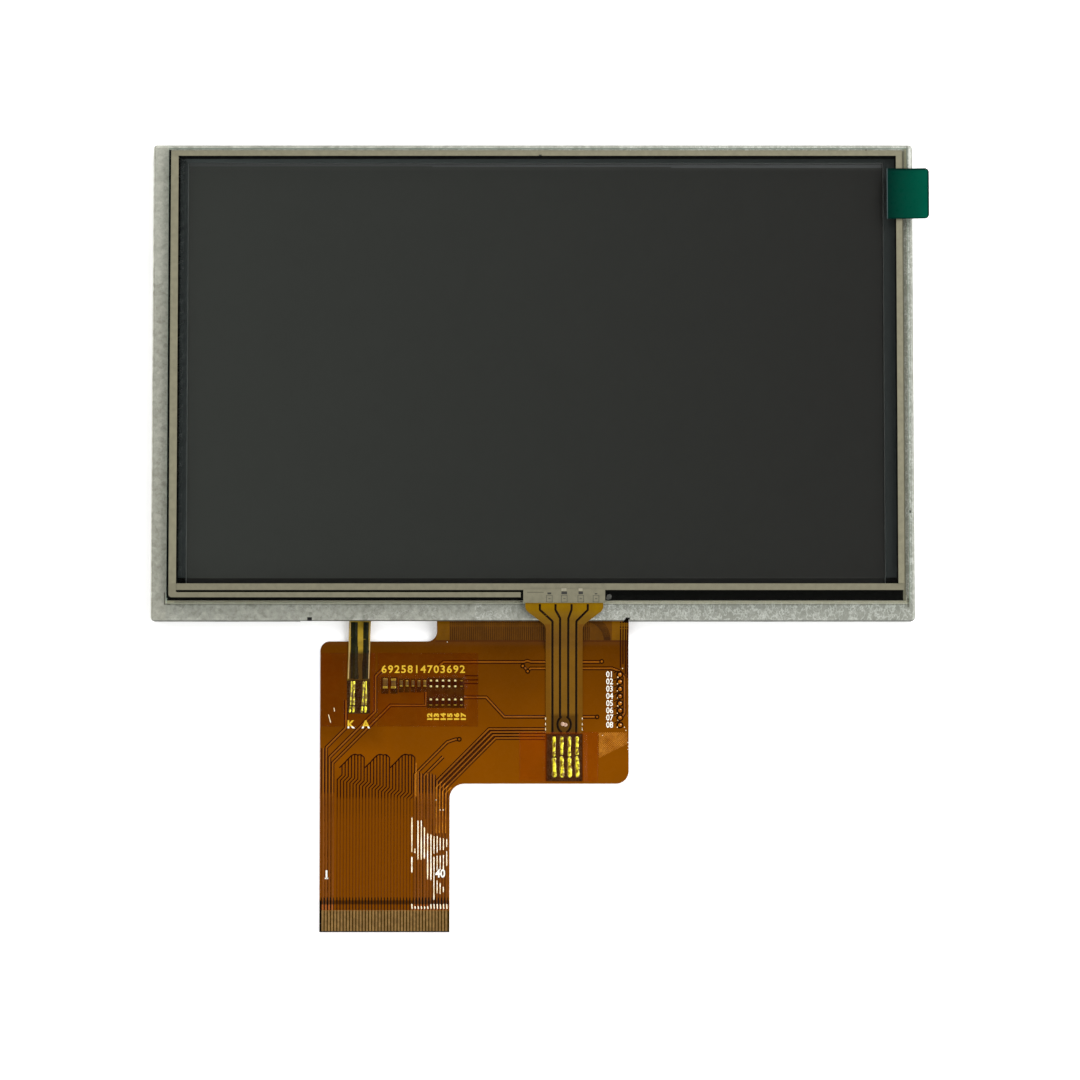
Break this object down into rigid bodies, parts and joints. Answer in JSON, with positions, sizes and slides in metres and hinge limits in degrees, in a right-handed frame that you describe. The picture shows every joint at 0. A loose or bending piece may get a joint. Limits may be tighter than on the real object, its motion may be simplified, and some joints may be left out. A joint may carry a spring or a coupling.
{
  "type": "tft display module",
  "caption": "Flat colour display panel in a pressed steel frame, with a resistive touch panel on top and an amber flexible circuit that ends in a contact tail.",
  "frame": {"origin": "middle of the steel body's outline, on the flat back of the rear cover", "axes": "+Z out of the display's face, +Y towards the top edge, away from the flexible circuit, +X to the right as seen by the viewer"},
  "size_m": [0.1231, 0.1248, 0.005],
  "materials": {
    "galvanised_steel": "spangled zinc, satin",
    "white_sheet": "matte white",
    "clear_acrylic": "clear, polished",
    "light_emitter": "white housing with a yellow lens",
    "prism_film": "clear film with fine ridges",
    "white_moulding": "white, fine moulded grain",
    "black_tape": "matte black",
    "polarizer": "dark, slightly hazy",
    "display_glass": "clear, polished",
    "driver_silicon": "dark, polished",
    "touch_glass": "clear, polished, pale green edge",
    "clear_adhesive": "clear adhesive",
    "silver_ink": "printed silver paste, satin",
    "clear_film": "clear, slightly hazy",
    "green_tab": "translucent green, smooth",
    "amber_film": "amber film over copper traces",
    "amber_tape": "thin amber tape, satin",
    "amber_stiffener": "thick amber sheet, satin",
    "gold_contact": "thin gold over nickel, worn smooth",
    "capacitor_body": "fired ceramic with tinned ends",
    "resistor_body": "black coat with tinned ends"
  },
  "bodies": {
    "root": {"front_bezel": "galvanised_steel", "rear_cover": "galvanised_steel", "reflector_sheet": "white_sheet", "diffuser_sheet": "white_sheet", "light_guide": "clear_acrylic", "backlight_leds": "light_emitter", "lower_prism_sheet": "prism_film", "upper_prism_sheet": "prism_film", "mould_frame": "white_moulding", "rim_tape": "black_tape", "panel_mount_tape": "black_tape", "rear_polarizer": "polarizer", "front_polarizer": "polarizer", "array_glass": "display_glass", "filter_glass": "display_glass", "source_driver_chip": "driver_silicon", "gate_driver_chip": "driver_silicon", "touch_glass": "touch_glass", "touch_spacer_tape": "clear_adhesive", "glass_silver_print": "silver_ink", "film_silver_print": "silver_ink", "touch_film": "clear_film", "protective_film": "clear_film", "pull_tab": "green_tab", "main_flex": "amber_film", "touch_flex": "amber_film", "backlight_flex": "amber_film", "component_tape": "amber_tape", "backlight_joint_tape": "amber_tape", "touch_joint_tape": "amber_tape", "tail_stiffener": "amber_stiffener", "component_stiffener": "amber_stiffener", "connector_fingers": "gold_contact", "touch_flex_fingers": "gold_contact", "backlight_joints": "gold_contact", "test_pads": "gold_contact", "large_capacitors": "capacitor_body", "small_capacitors": "capacitor_body", "chip_resistors": "resistor_body"}
  },
  "joints": []
}
